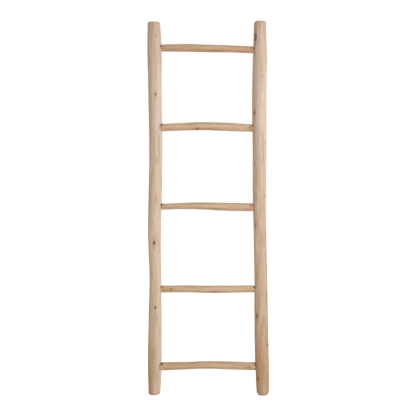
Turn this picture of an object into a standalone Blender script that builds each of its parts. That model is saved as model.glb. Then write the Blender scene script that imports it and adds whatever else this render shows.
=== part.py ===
# Rustic ladder rack: two peeled-branch rails, five whittled rungs set in blind
# sockets, and one wooden peg through each joint from the back of the rail.
# Metres, +Z up. The ladder stands upright on its two sawn feet, facing -Y.
# Origin: centre of the footprint, on the floor.

import bpy
import bmesh
from mathutils import Matrix, Vector

# ---------------------------------------------------------------- dimensions

MM = 0.001

RAIL_SIDES = 24          # facets round a rail
RUNG_SIDES = 16          # facets round a rung
RAIL_STEP = 40 * MM      # spacing of the cross-sections along a rail
RUNG_STEP = 25 * MM      # spacing of the cross-sections along a rung

RAIL_LEFT_HEIGHT = 1497 * MM
RAIL_RIGHT_HEIGHT = 1500 * MM
END_CHAMFER = 5.5 * MM   # knife-rounded arris at both ends of a rail

SOCKET_DEPTH = 36 * MM       # blind hole, from the rail's inner surface
SOCKET_EASE = 1.5 * MM       # socket radius over tenon radius
SOCKET_LIFT = 1.1 * MM       # the tenon sits low in its hole, so the gap is on top
TENON_END_GAP = 2.0 * MM     # between the tenon's end and the socket's bottom

PEG_RADIUS = 4.0 * MM
PEG_EASE = 0.35 * MM         # peg hole radius over peg radius
PEG_PROUD = 0.8 * MM         # the peg's head stands proud of the rail's back
PEG_PAST_TENON = 3.5 * MM    # how far the peg runs on beyond the tenon
PEG_INSET = 7.0 * MM         # peg axis from the rail's axis, towards the rung

# A rail is a natural pole, described the way a pole is measured: at each
# height, where its heart lies (sideways, front to back) and how thick it is.
# Each row is a bend or a change of thickness: height, x, y, diameter, all in mm.
RAIL_LEFT = (
    (0, -220, 4, 48),
    (60, -219, 4, 53),
    (140, -218, 2, 56),
    (320, -216, -1, 52),
    (470, -214, -3, 47),
    (640, -217, -3, 52),
    (800, -214, -2, 53),
    (1030, -211, 2, 52),
    (1250, -214, 3, 54),
    (1400, -215, 2, 56),
    (1497, -217, 0, 50),
)
RAIL_RIGHT = (
    (0, 220, -4, 49),
    (60, 219, -4, 54),
    (180, 215, -5, 56),
    (340, 212, -3, 54),
    (450, 211, -1, 52),
    (600, 208, 2, 51),
    (800, 204, 4, 53),
    (1000, 204, 4, 55),
    (1180, 202, 1, 57),
    (1380, 204, -2, 55),
    (1430, 204, -2, 51),
    (1500, 204, -2, 47),
)

# A rung is a thinner branch: along its length, its height and its diameter.
#  name      y at left, y at right,  tenon diameter,  ((x, height, diameter), ...)
RUNGS = (
    ("rung_1", 1, -1, 26,
     ((-175, 1395, 28), (-70, 1395, 30), (0, 1393, 29), (90, 1391, 28), (165, 1388, 28))),
    ("rung_2", -3, 3, 28,
     ((-175, 1080, 31), (-100, 1083, 31), (-20, 1085, 32), (80, 1082, 33), (165, 1078, 30))),
    ("rung_3", -6, 4, 24,
     ((-175, 764, 25), (-110, 766, 25), (-20, 766, 29), (80, 762, 32), (165, 760, 32))),
    ("rung_4", -2, 0, 27,
     ((-175, 431, 29), (-100, 431, 28), (30, 429, 30), (110, 430, 29), (165, 431, 29))),
    ("rung_5", -2, 0, 30,
     ((-175, 115, 33), (-90, 118, 31), (0, 121, 31), (90, 118, 33), (165, 115, 33))),
)
WHITTLED = 12 * MM       # length of the whittled shoulder outside the socket
TENON_SINK = 1.0 * MM    # the whittling is deeper on top, so the tenon runs low

WOOD = {
    "rail": ((0.62, 0.46, 0.32, 1.0), 0.62),
    "rung": ((0.55, 0.38, 0.24, 1.0), 0.62),
    "peg": ((0.42, 0.27, 0.16, 1.0), 0.70),
}


# ------------------------------------------------------------------ helpers

def along(stations, t):
    """Row of smooth values at t from rows that start with their own t (Catmull-Rom)."""
    if t <= stations[0][0]:
        return stations[0][1:]
    if t >= stations[-1][0]:
        return stations[-1][1:]
    i = max(k for k in range(len(stations) - 1) if stations[k][0] <= t)
    a, b = stations[i], stations[i + 1]
    before = stations[i - 1] if i > 0 else a
    after = stations[i + 2] if i + 2 < len(stations) else b
    span = b[0] - a[0]
    u = (t - a[0]) / span
    row = []
    for k in range(1, len(a)):
        slope_a = (b[k] - before[k]) / max(b[0] - before[0], 1e-9) * span
        slope_b = (after[k] - a[k]) / max(after[0] - a[0], 1e-9) * span
        row.append(
            (2 * u**3 - 3 * u**2 + 1) * a[k]
            + (u**3 - 2 * u**2 + u) * slope_a
            + (-2 * u**3 + 3 * u**2) * b[k]
            + (u**3 - u**2) * slope_b
        )
    return row


def evenly(start, end, step):
    count = max(1, round((end - start) / step))
    return [start + (end - start) * k / count for k in range(count + 1)]


def wood(kind):
    name = kind + "_wood"
    found = bpy.data.materials.get(name)
    if found:
        return found
    colour, roughness = WOOD[kind]
    material = bpy.data.materials.new(name)
    material.use_nodes = True
    shader = material.node_tree.nodes["Principled BSDF"]
    shader.inputs["Base Color"].default_value = colour
    shader.inputs["Roughness"].default_value = roughness
    shader.inputs["Metallic"].default_value = 0.0
    material.diffuse_color = colour
    return material


def branch(name, points, sides, kind, collection):
    """A solid branch: a poly curve with its own radius at each point, made a closed mesh."""
    curve = bpy.data.curves.new(name + "_line", "CURVE")
    curve.dimensions = "3D"
    curve.bevel_depth = 1.0
    curve.bevel_resolution = (sides - 4) // 2
    curve.use_fill_caps = True
    curve.twist_mode = "MINIMUM"
    spline = curve.splines.new("POLY")
    spline.points.add(len(points) - 1)
    for point, (x, y, z, radius) in zip(spline.points, points):
        point.co = (x, y, z, 1.0)
        point.radius = radius
    line = bpy.data.objects.new(name + "_line", curve)
    collection.objects.link(line)
    bpy.context.view_layer.update()
    graph = bpy.context.evaluated_depsgraph_get()
    mesh = bpy.data.meshes.new_from_object(line.evaluated_get(graph))
    mesh.name = name
    body = bpy.data.objects.new(name, mesh)
    body.matrix_world = line.matrix_world
    collection.objects.link(body)
    bpy.data.objects.remove(line)
    shape = bmesh.new()
    shape.from_mesh(mesh)
    bmesh.ops.remove_doubles(shape, verts=shape.verts, dist=0.00001)
    bmesh.ops.recalc_face_normals(shape, faces=shape.faces)
    shape.to_mesh(mesh)
    shape.free()
    mesh.shade_smooth()
    mesh.set_sharp_from_angle(angle=0.6)
    mesh.materials.clear()
    mesh.materials.append(wood(kind))
    return body


def cylinder(name, start, end, radius, sides, collection):
    """A closed cylinder from start to end, with its origin at start."""
    start, end = Vector(start), Vector(end)
    length = (end - start).length
    mesh = bpy.data.meshes.new(name)
    shape = bmesh.new()
    bmesh.ops.create_cone(
        shape, cap_ends=True, cap_tris=False, segments=sides,
        radius1=radius, radius2=radius, depth=length,
        matrix=Matrix.Translation((0, 0, length / 2)),
    )
    shape.to_mesh(mesh)
    shape.free()
    body = bpy.data.objects.new(name, mesh)
    body.location = start
    body.rotation_mode = "QUATERNION"
    body.rotation_quaternion = (end - start).to_track_quat("Z", "Y")
    collection.objects.link(body)
    return body


def cut(body, cutter):
    hole = body.modifiers.new("hole_" + cutter.name, "BOOLEAN")
    hole.operation = "DIFFERENCE"
    hole.solver = "EXACT"
    hole.object = cutter


# --------------------------------------------------------------------- build

for old in list(bpy.data.objects):
    bpy.data.objects.remove(old)

ladder = bpy.data.collections.new("ladder_rack")
cutters = bpy.data.collections.new("cutters")
bpy.context.scene.collection.children.link(ladder)
bpy.context.scene.collection.children.link(cutters)
cutters.hide_render = True


def rail_at(stations, z):
    """x, y and radius of a rail at height z, in metres."""
    x, y, diameter = along(stations, z / MM)
    return x * MM, y * MM, diameter / 2 * MM


def rail_points(stations, height):
    """Cross-sections from the foot up. The last few at each end stand straight
    above each other, so that the saw cuts are level, and shrink to the chamfer."""
    arris = ((0.0, 1.0), (0.22, 0.55), (0.60, 0.17), (1.35, 0.0))
    points = []
    foot_x, foot_y, foot_r = rail_at(stations, 0.0)
    top_x, top_y, top_r = rail_at(stations, height)
    for up, off in arris:
        points.append((foot_x, foot_y, up * END_CHAMFER, foot_r - off * END_CHAMFER))
    for z in evenly(25 * MM, height - 25 * MM, RAIL_STEP):
        x, y, r = rail_at(stations, z)
        points.append((x, y, z, r))
    for up, off in reversed(arris):
        points.append((top_x, top_y, height - up * END_CHAMFER, top_r - off * END_CHAMFER))
    return points


rails = {}
for name, stations, height in (
    ("left_rail", RAIL_LEFT, RAIL_LEFT_HEIGHT),
    ("right_rail", RAIL_RIGHT, RAIL_RIGHT_HEIGHT),
):
    rails[name] = branch(name, rail_points(stations, height), RAIL_SIDES, "rail", ladder)

for name, y_left, y_right, tenon_mm, stations in RUNGS:
    y_left, y_right = y_left * MM, y_right * MM
    tenon = tenon_mm / 2 * MM
    first, last = stations[0], stations[-1]
    joints = []
    for side, rail_name, rail_stations, station, y in (
        (-1, "left_rail", RAIL_LEFT, first, y_left),
        (1, "right_rail", RAIL_RIGHT, last, y_right),
    ):
        z = station[1] * MM - TENON_SINK
        rail_x, rail_y, rail_r = rail_at(rail_stations, z)
        mouth = rail_x - side * rail_r             # inner surface of the rail
        bottom = mouth + side * SOCKET_DEPTH
        joints.append((side, rail_name, rail_x, rail_y, rail_r, mouth, bottom, y, z))

    # The branch itself, from tenon end to tenon end.
    def y_at(x):
        share = (x - first[0] * MM) / ((last[0] - first[0]) * MM)
        return y_left + (y_right - y_left) * min(1.0, max(0.0, share))

    left, right = joints
    inner_left = left[5] + WHITTLED
    inner_right = right[5] - WHITTLED
    points = []
    tip = left[6] + TENON_END_GAP
    for x, r in ((tip, tenon - 1.5 * MM), (tip + 2 * MM, tenon), (left[5] - 4 * MM, tenon), (left[5] + 2 * MM, tenon + 0.4 * MM)):
        points.append((x, left[7], left[8], r))
    for x in evenly(inner_left, inner_right, RUNG_STEP):
        height, diameter = along(stations, x / MM)
        points.append((x, y_at(x), height * MM, diameter / 2 * MM))
    tip = right[6] - TENON_END_GAP
    for x, r in ((right[5] - 2 * MM, tenon + 0.4 * MM), (right[5] + 4 * MM, tenon), (tip - 2 * MM, tenon), (tip, tenon - 1.5 * MM)):
        points.append((x, right[7], right[8], r))
    rung = branch(name, points, RUNG_SIDES, "rung", ladder)

    for side, rail_name, rail_x, rail_y, rail_r, mouth, bottom, y, z in joints:
        label = name.replace("rung_", "") + ("_left" if side < 0 else "_right")
        # Blind socket, drilled level from the inner side.
        socket = cylinder(
            "cut_socket_" + label,
            (mouth - side * 40 * MM, y, z + SOCKET_LIFT),
            (bottom, y, z + SOCKET_LIFT),
            tenon + SOCKET_EASE, 24, cutters,
        )
        cut(rails[rail_name], socket)
        # Peg, driven from the back through the tenon.
        peg_x = rail_x - side * PEG_INSET
        back = rail_y + (rail_r**2 - PEG_INSET**2) ** 0.5
        far = y - tenon - PEG_PAST_TENON
        hole = cylinder(
            "cut_peg_" + label,
            (peg_x, back + 20 * MM, z),
            (peg_x, far - 0.5 * MM, z),
            PEG_RADIUS + PEG_EASE, 16, cutters,
        )
        cut(rails[rail_name], hole)
        cut(rung, hole)
        peg = cylinder(
            "peg_" + label,
            (peg_x, back + PEG_PROUD, z),
            (peg_x, far, z),
            PEG_RADIUS, 16, ladder,
        )
        peg.data.materials.append(wood("peg"))
        peg.data.shade_smooth()
        peg.data.set_sharp_from_angle(angle=0.6)

for helper in cutters.objects:
    helper.hide_render = True
    helper.display_type = "WIRE"
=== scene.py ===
# Rustic ladder rack: the visible wood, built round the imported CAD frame.
# Each CAD node is replaced by a denser piece of the same size and place: peeled
# poles with knots, drawknife flats and sawn ends, whittled rungs and pegs.

import math

import bmesh
import bpy
import numpy as np
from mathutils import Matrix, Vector


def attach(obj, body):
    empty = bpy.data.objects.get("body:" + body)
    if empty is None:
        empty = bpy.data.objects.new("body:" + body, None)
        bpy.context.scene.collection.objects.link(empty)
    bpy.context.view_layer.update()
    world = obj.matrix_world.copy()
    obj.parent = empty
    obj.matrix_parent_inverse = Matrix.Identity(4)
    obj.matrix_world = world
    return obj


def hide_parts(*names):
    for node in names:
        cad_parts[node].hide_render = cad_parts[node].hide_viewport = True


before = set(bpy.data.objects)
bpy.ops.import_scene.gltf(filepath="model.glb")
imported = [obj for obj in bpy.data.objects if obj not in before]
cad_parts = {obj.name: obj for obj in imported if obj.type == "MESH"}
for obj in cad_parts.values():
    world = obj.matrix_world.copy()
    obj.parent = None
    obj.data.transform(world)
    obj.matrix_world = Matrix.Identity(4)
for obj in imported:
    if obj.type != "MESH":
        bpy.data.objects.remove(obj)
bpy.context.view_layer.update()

MM = 0.001

# ------------------------------------------------------------ the CAD's sizes
# height, x, y, diameter (mm), as in the CAD

RAILS = {
    "left_rail": (
        (0, -220, 4, 48),
        (60, -219, 4, 53),
        (140, -218, 2, 56),
        (320, -216, -1, 52),
        (470, -214, -3, 47),
        (640, -217, -3, 52),
        (800, -214, -2, 53),
        (1030, -211, 2, 52),
        (1250, -214, 3, 54),
        (1400, -215, 2, 56),
        (1497, -217, 0, 50),
    ),
    "right_rail": (
        (0, 220, -4, 49),
        (60, 219, -4, 54),
        (180, 215, -5, 56),
        (340, 212, -3, 54),
        (450, 211, -1, 52),
        (600, 208, 2, 51),
        (800, 204, 4, 53),
        (1000, 204, 4, 55),
        (1180, 202, 1, 57),
        (1380, 204, -2, 55),
        (1430, 204, -2, 51),
        (1500, 204, -2, 47),
    ),
}
SIDE = {"left_rail": -1, "right_rail": 1}

RUNGS = {
    "rung_1": (1, -1, 26, (
        (-175, 1395, 28), (-70, 1395, 30), (0, 1393, 29), (90, 1391, 28), (165, 1388, 28))),
    "rung_2": (-3, 3, 28, (
        (-175, 1080, 31), (-100, 1083, 31), (-20, 1085, 32), (80, 1082, 33), (165, 1078, 30))),
    "rung_3": (-6, 4, 24, (
        (-175, 764, 25), (-110, 766, 25), (-20, 766, 29), (80, 762, 32), (165, 760, 32))),
    "rung_4": (-2, 0, 27, (
        (-175, 431, 29), (-100, 431, 28), (30, 429, 30), (110, 430, 29), (165, 431, 29))),
    "rung_5": (-2, 0, 30, (
        (-175, 115, 33), (-90, 118, 31), (0, 121, 31), (90, 118, 33), (165, 115, 33))),
}
SOCKET_DEPTH = 36 * MM
TENON_SINK = 1.0 * MM
TENON_END_GAP = 2.0 * MM
PEG_RADIUS = 4.0 * MM
PEG_PROUD = 0.8 * MM
PEG_PAST_TENON = 3.5 * MM
PEG_INSET = 7.0 * MM

# ------------------------------------------------------------- wood features
# Knots on the poles: height (mm), degrees from the front (+ to the right, 180 at
# the back), width and height (mm), darkness 0-1, hue (-1 grey, 0 brown, 1 orange),
# and for a few how far it is only a dark ring round pale wood.

KNOTS = {
    "left_rail": (
        (1440, 17, 9, 14, 0.42, 0.3), (1211, 9, 6, 10, 0.85, 0.3), (950, 12, 5, 8, 0.50, 0.3),
        (792, 10, 10, 15, 0.38, 0.8), (620, -1, 9, 13, 0.95, 0.0), (571, -18, 4, 6, 0.40, 0.0),
        (359, 5, 7, 9, 0.90, 0.3), (327, 3, 4, 30, 0.50, 0.3), (167, -4, 7, 11, 0.55, 0.3),
        (1371, 76, 4, 9, 0.30, 0.9), (779, 74, 4, 5, 0.40, 0.9), (92, 72, 4, 7, 0.35, 0.9),
        (1320, 150, 9, 13, 0.8, 0.1), (1075, -160, 7, 10, 0.6, 0.3), (842, 120, 8, 12, 0.7, 0.2),
        (705, -120, 10, 15, 0.85, 0.0), (500, 165, 8, 12, 0.75, 0.2), (265, -150, 10, 14, 0.8, 0.1),
        (95, 110, 7, 10, 0.5, 0.3), (1180, -100, 6, 9, 0.5, 0.3), (420, -95, 6, 9, 0.6, 0.2),
    ),
    "right_rail": (
        (1436, -45, 10, 25, 1.00, 0.1, 0.7), (1283, 29, 7, 11, 0.42, 0.7), (1315, 24, 4, 7, 0.35, 0.7), (1138, -45, 8, 11, 0.85, 0.1),
        (1019, 52, 7, 10, 0.45, 0.6), (936, -48, 7, 10, 0.55, 0.0), (806, 49, 7, 10, 0.58, 0.6),
        (800, -28, 6, 10, 0.40, -0.8), (689, -42, 8, 14, 0.65, 0.2), (634, 43, 6, 9, 0.40, 0.9),
        (570, 43, 7, 10, 0.45, 0.7), (478, -36, 8, 13, 0.40, 0.2), (405, 52, 8, 11, 0.75, 0.4),
        (325, -41, 11, 17, 0.80, -0.15, 0.35), (207, 52, 8, 12, 0.85, 0.3), (113, 2, 8, 12, 0.35, 0.6),
        (70, -45, 8, 12, 0.80, 0.3), (1493, -56, 3, 4, 0.50, 0.0),
        (1340, 140, 10, 14, 0.8, 0.1), (1210, -150, 8, 11, 0.7, 0.2), (985, 165, 9, 14, 0.85, 0.0),
        (760, -130, 8, 12, 0.7, 0.2), (545, 145, 7, 10, 0.6, 0.3), (300, 175, 10, 15, 0.85, 0.1),
        (150, -120, 8, 11, 0.6, 0.3),
    ),
}

# Knots on the rungs: x (mm), degrees from the front (+ upwards), width along the
# rung, width across, darkness, hue.
RUNG_KNOTS = {
    "rung_1": ((140, -38, 34, 4, 0.35, 1.0), (-95, 120, 9, 6, 0.6, 0.2), (60, -150, 8, 6, 0.6, 0.2)),
    "rung_2": ((-45, -40, 11, 6, 0.95, 0.1), (100, 130, 9, 6, 0.7, 0.2), (-120, 170, 8, 6, 0.5, 0.2)),
    "rung_3": ((20, 150, 10, 7, 0.7, 0.2), (-80, -140, 8, 6, 0.6, 0.3), (92, 5, 12, 6, 0.2, 0.5)),
    "rung_4": ((-151, 4, 9, 6, 0.75, 0.2), (-136, 12, 6, 4, 0.35, 0.4), (70, 160, 9, 6, 0.7, 0.2)),
    "rung_5": ((-40, 140, 9, 7, 0.7, 0.1), (110, -150, 9, 6, 0.6, 0.3), (12, 12, 10, 6, 0.18, 0.3)),
}

# Broad tone along each pole: height (mm), brown 0-1, pink 0-1, brightness.
TONES = {
    "left_rail": ((0, 0.58, 0.25, 0.965), (150, 0.44, 0.30, 1.00), (300, 0.36, 0.34, 1.03),
                  (450, 0.26, 0.36, 1.04), (700, 0.20, 0.42, 1.03), (1000, 0.12, 0.52, 1.02),
                  (1300, 0.15, 0.50, 0.99), (1500, 0.26, 0.38, 0.97)),
    "right_rail": ((0, 0.82, 0.15, 0.94), (150, 0.70, 0.20, 0.96), (300, 0.58, 0.26, 0.98),
                   (450, 0.46, 0.34, 1.01), (700, 0.34, 0.45, 1.01), (1000, 0.18, 0.58, 1.00),
                   (1300, 0.12, 0.60, 0.98), (1500, 0.22, 0.48, 0.96)),
}
# Paler and darker patches of the poles: height (mm), degrees from the front, half
# length (mm), half width (degrees), how much brighter
PATCHES = {
    "left_rail": ((930, -27, 190, 20, 0.05), (350, -21, 340, 20, 0.045), (1330, -75, 170, 40, -0.05),
                  (380, 62, 260, 36, -0.05)),
    "right_rail": ((1350, 62, 160, 36, -0.025), (50, 8, 90, 40, -0.04)),
}
RUNG_TONES = {"rung_1": (0.60, 0.32, 0.97), "rung_2": (0.32, 0.42, 1.02), "rung_3": (0.42, 0.50, 1.01),
              "rung_4": (0.36, 0.44, 1.01), "rung_5": (0.54, 0.38, 0.97)}


# ------------------------------------------------------------------- numerics

def rows(stations, t):
    """Smooth values at each t (mm) from rows that start with their own t."""
    s = np.array(stations, float)
    x, y = s[:, 0], s[:, 1:]
    t = np.asarray(t, float)
    i = np.clip(np.searchsorted(x, t, side="right") - 1, 0, len(x) - 2)
    before, after = np.maximum(i - 1, 0), np.minimum(i + 2, len(x) - 1)
    span = (x[i + 1] - x[i])[..., None]
    u = np.clip((t - x[i]) / (x[i + 1] - x[i]), 0, 1)[..., None]
    slope_a = (y[i + 1] - y[before]) / (x[i + 1] - x[before])[..., None] * span
    slope_b = (y[after] - y[i]) / (x[after] - x[i])[..., None] * span
    return ((2 * u**3 - 3 * u**2 + 1) * y[i] + (u**3 - 2 * u**2 + u) * slope_a
            + (-2 * u**3 + 3 * u**2) * y[i + 1] + (u**3 - u**2) * slope_b)


def noise(x, y, z, seed):
    """Smooth value noise in -1..1, the same every run."""
    x, y, z = np.broadcast_arrays(np.asarray(x, float), np.asarray(y, float), np.asarray(z, float))
    xi, yi, zi = (np.floor(v).astype(np.int64) for v in (x, y, z))
    u, v, w = (f * f * f * (f * (f * 6 - 15) + 10) for f in (x - xi, y - yi, z - zi))

    def at(i, j, k):
        n = ((xi + i) * 73856093) ^ ((yi + j) * 19349663) ^ ((zi + k) * 83492791) ^ (seed * 40503 + 977)
        n = (n ^ (n >> 13)) & 0x7FFFFFFF
        n = (n * ((n * n & 0x7FFFFFFF) * 157 + 789221) + 1376312589) & 0x7FFFFFFF
        return n / 1073741824.0 - 1.0

    a = at(0, 0, 0) * (1 - u) + at(1, 0, 0) * u
    b = at(0, 1, 0) * (1 - u) + at(1, 1, 0) * u
    c = at(0, 0, 1) * (1 - u) + at(1, 0, 1) * u
    d = at(0, 1, 1) * (1 - u) + at(1, 1, 1) * u
    return (a * (1 - v) + b * v) * (1 - w) + (c * (1 - v) + d * v) * w


def round_noise(theta, s, around, along, seed):
    """Noise on a round surface with no seam: features 1/around radii by 1/along metres."""
    return noise(np.cos(theta) * around + 31.7, np.sin(theta) * around + 17.3, s * along + 5.1, seed)


def turn(a):
    """An angle brought into -pi..pi."""
    return (a + np.pi) % (2 * np.pi) - np.pi


def step(low, high, v):
    u = np.clip((v - low) / (high - low), 0, 1)
    return u * u * (3 - 2 * u)


# ------------------------------------------------------------------- branches

class Branch:
    """A natural branch: a centre line, the surface that grew, and the cuts made in it.

    theta is measured round the axis, s along it. Rails run along Z with theta 0 at
    +X; rungs run along X with theta 0 at +Y.
    """

    def __init__(self, name, kind, seed):
        self.name, self.kind, self.seed = name, kind, seed
        self.knots = []       # theta, s, half width round, half height along, darkness, hue, ring
        self.flats = []       # drawknife flats: theta, s, depth, half length, lean
        self.ends = []        # end facets: which end (0 or 1), theta, inset, run

    # geometry in the branch's own terms -------------------------------------
    def base(self, s):
        """centre (two values) and radius at s."""
        raise NotImplementedError

    def grown(self, theta, s, r0):
        """Radius of the natural surface."""
        amp = 0.7 if self.kind == "rung" else 1.0
        low = 1.0 * MM * amp * round_noise(theta, s, 0.85, 5.5, self.seed)
        if self.kind == "rail":   # the two sides seen in outline keep the CAD's line
            for side in (0.0, np.pi):
                flat = np.full_like(theta, side)
                low = low - np.exp(-(turn(theta - side) / 0.55) ** 2) * (
                    1.0 * MM * round_noise(flat, s, 0.85, 5.5, self.seed))
        mid = 0.33 * MM * amp * round_noise(theta, s, 2.6, 21, self.seed + 1)
        fine = 0.14 * MM * amp * round_noise(theta, s, 8.0, 13, self.seed + 2)
        fine = fine + 0.07 * MM * round_noise(theta, s, 17.0, 34, self.seed + 3)
        r = r0 + low + mid + fine
        for theta_k, s_k, w, h, dark, hue, ring in self.knots:
            du, ds = turn(theta - theta_k) * r0, s - s_k
            near = (np.abs(du) < 5 * w) & (np.abs(ds) < 5 * h)
            if not near.any():
                continue
            d2 = (du / w) ** 2 + (ds / h) ** 2
            swell = 0.95 * MM * (0.35 + dark) * np.exp(-d2 / 7.0)
            crater = -0.55 * MM * dark * np.exp(-((np.sqrt(d2) - 1.0) / 0.33) ** 2)
            r = r + np.where(near, swell + crater, 0.0)
        return r

    def cut(self, theta, s, r):
        """Radius left after the flats and the end facets."""
        for theta_f, s_f, depth, half, lean in self.flats:
            m = np.abs(s - s_f) < half
            if not m.any():
                continue
            d = turn(theta[m] - theta_f - lean * (s[m] - s_f))
            r0 = r[m]
            take = depth * (1 - ((s[m] - s_f) / half) ** 2)
            plane = (r0 - take) / np.maximum(np.cos(d), 0.2)
            r[m] = np.where(np.abs(d) < 1.0, np.minimum(r0, np.maximum(plane, r0 - take)), r0)
        for end, theta_f, inset, run, keep in self.ends:
            gap = (s - self.s0) if end == 0 else (self.s1 - s)
            m = gap < run * 1.6
            if not m.any():
                continue
            d = turn(theta[m] - theta_f)
            plane = (keep - inset + gap[m] * inset / run) / np.maximum(np.cos(d), 0.05)
            r[m] = np.where(np.cos(d) > 0.3, np.minimum(r[m], plane), r[m])
        return r

    # coordinates -------------------------------------------------------------
    def to_world(self, theta, s, r):
        c = self.centre(s)
        a, b = c[..., 0] + r * np.cos(theta), c[..., 1] + r * np.sin(theta)
        return np.stack([a, b, s] if self.kind == "rail" else [s, a, b], -1)

    def from_world(self, co):
        s = co[:, 2] if self.kind == "rail" else co[:, 0]
        c = self.centre(s)
        a = (co[:, 0] if self.kind == "rail" else co[:, 1]) - c[:, 0]
        b = (co[:, 1] if self.kind == "rail" else co[:, 2]) - c[:, 1]
        return np.arctan2(b, a), s, np.hypot(a, b)

    def warp(self, theta, s, r0):
        """theta as the grain sees it: it spirals slowly, wanders, and parts round knots."""
        out = theta + 0.35 * (s - self.s0) + 0.05 * round_noise(theta, s, 1.2, 4.0, self.seed + 7)
        for theta_k, s_k, w, h, dark, hue, ring in self.knots:
            du, ds = turn(theta - theta_k), s - s_k
            a, b = 2.0 * w / r0, 3.2 * h
            reach = (du / a) ** 2 + (ds / b) ** 2
            out = out - np.where(reach < 9, 0.92 * du * np.exp(-reach), 0.0)
        return out


class Rail(Branch):
    def __init__(self, name, seed):
        super().__init__(name, "rail", seed)
        self.stations = RAILS[name]
        self.s0, self.s1 = 0.0, self.stations[-1][0] * MM
        self.side = SIDE[name]
        for z, deg, w, h, dark, hue, *ring in KNOTS[name]:
            self.knots.append((math.radians(deg) - math.pi / 2, z * MM, w / 2 * MM, h / 2 * MM, dark, hue, *(ring or (0.0,))))

    def centre(self, s):
        # the last 20 mm at each end stand plumb, so that the saw cuts are level
        t = np.clip(s / MM, 12, self.s1 / MM - 12)
        return rows(self.stations, t)[..., :2] * MM

    def radius(self, s):
        return rows(self.stations, np.asarray(s) / MM)[..., 2] / 2 * MM


class Rung(Branch):
    def __init__(self, name, seed):
        super().__init__(name, "rung", seed)
        y0, y1, tenon, self.stations = RUNGS[name]
        self.y0, self.y1, self.tenon = y0 * MM, y1 * MM, tenon / 2 * MM
        self.x0, self.x1 = self.stations[0][0] * MM, self.stations[-1][0] * MM
        self.joints = []
        for side, rail, station, y in ((-1, rails["left_rail"], self.stations[0], self.y0),
                                       (1, rails["right_rail"], self.stations[-1], self.y1)):
            z = station[1] * MM - TENON_SINK
            cx, cy = rail.centre(np.array([z]))[0]
            r = float(rail.radius(np.array([z]))[0])
            mouth = cx - side * r
            bottom = mouth + side * SOCKET_DEPTH
            self.joints.append({"side": side, "rail": rail, "x": cx, "y": cy, "r": r,
                                "mouth": mouth, "bottom": bottom, "ty": y, "tz": z, "tenon": self.tenon})
        self.s0 = self.joints[0]["bottom"] + TENON_END_GAP
        self.s1 = self.joints[1]["bottom"] - TENON_END_GAP
        for x, deg, w, h, dark, hue in RUNG_KNOTS[name]:
            self.knots.append((math.pi - math.radians(deg), x * MM, h / 2 * MM, w / 2 * MM, dark, hue, 0.0))

    def centre(self, s):
        s = np.asarray(s, float)
        share = np.clip((s - self.x0) / (self.x1 - self.x0), 0, 1)
        y = self.y0 + (self.y1 - self.y0) * share
        z = rows(self.stations, s / MM)[..., 0] * MM
        return np.stack([y, z], -1)

    def radius(self, s):
        return rows(self.stations, np.asarray(s) / MM)[..., 1] / 2 * MM


rails = {"left_rail": Rail("left_rail", 11), "right_rail": Rail("right_rail", 23)}
rungs = {name: Rung(name, 40 + 9 * i) for i, name in enumerate(RUNGS)}

# Each joint: the tenon's radius, how deep its top is pared, how far out from the pole
# the paring starts, how far the hole's lip is torn at the top (mm), and the dark brown
# painted in the notch and round the rest of the mouth (0-1): painted shade, with some grime.
JOINTS = {
    ("rung_1", -1): (13.2, 3.6, 3.8, 2.2, 1.00, 0.20), ("rung_1", 1): (13.2, 3.4, 3.8, 4.6, 1.00, 0.60),
    ("rung_2", -1): (14.4, 2.0, 3.4, 0.6, 0.30, 0.12), ("rung_2", 1): (14.0, 2.4, 3.4, 1.2, 0.80, 0.75),
    ("rung_3", -1): (11.9, 3.0, 3.4, 1.6, 0.90, 0.30), ("rung_3", 1): (14.9, 2.0, 3.4, 0.8, 0.60, 0.65),
    ("rung_4", -1): (13.6, 2.2, 3.4, 0.8, 0.50, 0.10), ("rung_4", 1): (13.6, 3.2, 4.6, 2.0, 1.00, 0.40),
    ("rung_5", -1): (15.3, 3.0, 4.6, 1.4, 0.80, 0.30), ("rung_5", 1): (15.3, 3.2, 4.8, 2.0, 1.00, 0.45),
}

for name, rail in rails.items():
    rng = np.random.default_rng(rail.seed)
    for _ in range(150):
        rail.flats.append((rng.uniform(-math.pi, math.pi), rng.uniform(0.0, rail.s1),
                           rng.uniform(0.10, 0.42) * MM, rng.uniform(35, 120) * MM, rng.uniform(-0.5, 0.5)))
# Knife cuts round the sawn ends: direction in degrees from the front (+ right),
# inset and run along the pole (mm)
END_FACETS = {
    ("left_rail", 0): ((-80, 3.2, 4.0), (-42, 3.4, 3.0), (-8, 3.2, 2.6), (26, 6.5, 4.5), (56, 8.5, 7.0),
                       (88, 5.0, 6.0), (130, 5.0, 6.0), (168, 5.0, 5.0), (-150, 4.5, 6.0), (-112, 4.5, 5.0)),
    ("left_rail", 1): ((-84, 5.0, 4.6), (-52, 4.4, 3.6), (-14, 2.6, 1.8), (22, 2.4, 1.8), (58, 4.6, 4.0),
                       (92, 4.8, 4.8), (134, 4.0, 5.0), (170, 3.6, 5.0), (-150, 4.0, 6.0), (-116, 4.2, 5.0)),
    ("right_rail", 0): ((-84, 6.5, 10.0), (-50, 6.5, 7.5), (-16, 4.5, 4.0), (18, 4.0, 3.5), (54, 6.5, 6.5),
                        (88, 7.0, 10.0), (126, 5.0, 6.0), (164, 5.0, 5.0), (-156, 4.5, 6.0), (-120, 5.0, 7.0)),
    ("right_rail", 1): ((-86, 6.0, 7.5), (-52, 5.0, 4.5), (-14, 2.6, 2.0), (20, 2.6, 2.0), (58, 4.4, 4.0),
                        (92, 4.8, 6.0), (132, 4.0, 5.0), (168, 3.6, 5.0), (-152, 4.0, 6.0), (-118, 4.4, 5.0)),
}
for (name, end), facets in END_FACETS.items():
    rail = rails[name]
    keep = float(rail.radius(np.array([rail.s0 if end == 0 else rail.s1]))[0])
    for deg, inset, run in facets:
        rail.ends.append((end, math.radians(deg) - math.pi / 2, inset * MM, run * MM, keep))


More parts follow.
